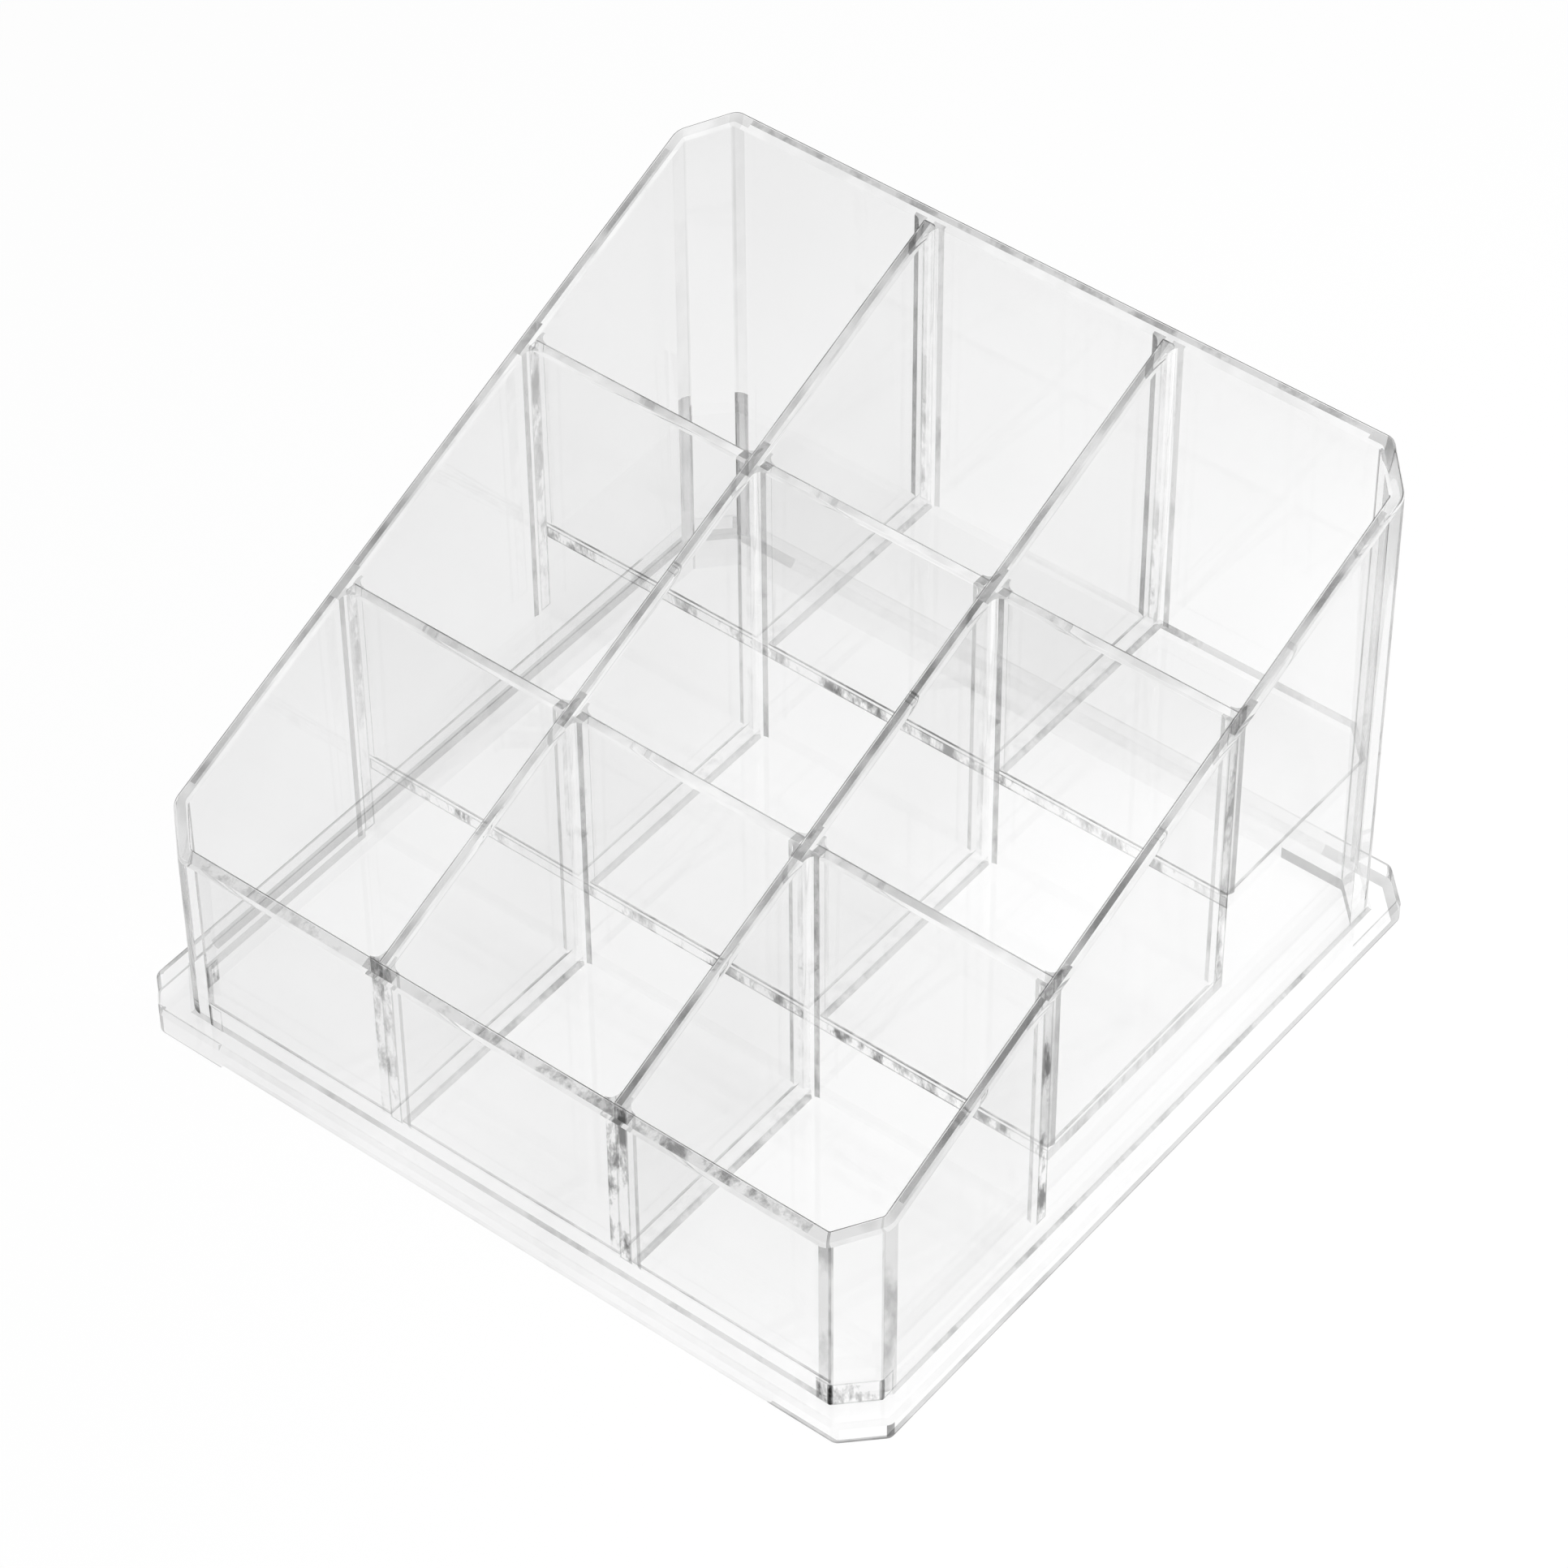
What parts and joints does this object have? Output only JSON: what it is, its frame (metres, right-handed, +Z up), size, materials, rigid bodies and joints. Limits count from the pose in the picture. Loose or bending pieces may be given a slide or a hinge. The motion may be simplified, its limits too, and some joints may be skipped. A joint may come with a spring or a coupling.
{
  "type": "vanity organizer",
  "caption": "Clear stepped vanity organizer with a sloping rim, cut corners, a low plinth and square bays in three rising rows.",
  "frame": {"origin": "centre of the footprint, on the surface the organizer stands on", "axes": "+Z up; +X to the right and +Y to the back as seen from the low front"},
  "size_m": [0.126, 0.125, 0.0835],
  "materials": {
    "clear_wall": "clear, colourless, polished",
    "clear_floor": "clear, colourless, polished",
    "clear_plinth": "clear, colourless, polished"
  },
  "bodies": {
    "root": {"front_wall": "clear_wall", "back_wall": "clear_wall", "left_wall": "clear_wall", "right_wall": "clear_wall", "front_left_corner": "clear_wall", "front_right_corner": "clear_wall", "back_left_corner": "clear_wall", "back_right_corner": "clear_wall", "front_floor": "clear_floor", "middle_floor": "clear_floor", "rear_floor": "clear_floor", "lower_riser": "clear_wall", "upper_riser": "clear_wall", "left_divider": "clear_wall", "right_divider": "clear_wall", "front_plinth_rail": "clear_plinth", "back_plinth_rail": "clear_plinth", "left_plinth_rail": "clear_plinth", "right_plinth_rail": "clear_plinth", "front_left_plinth_corner": "clear_plinth", "front_right_plinth_corner": "clear_plinth", "back_left_plinth_corner": "clear_plinth", "back_right_plinth_corner": "clear_plinth"}
  },
  "joints": []
}
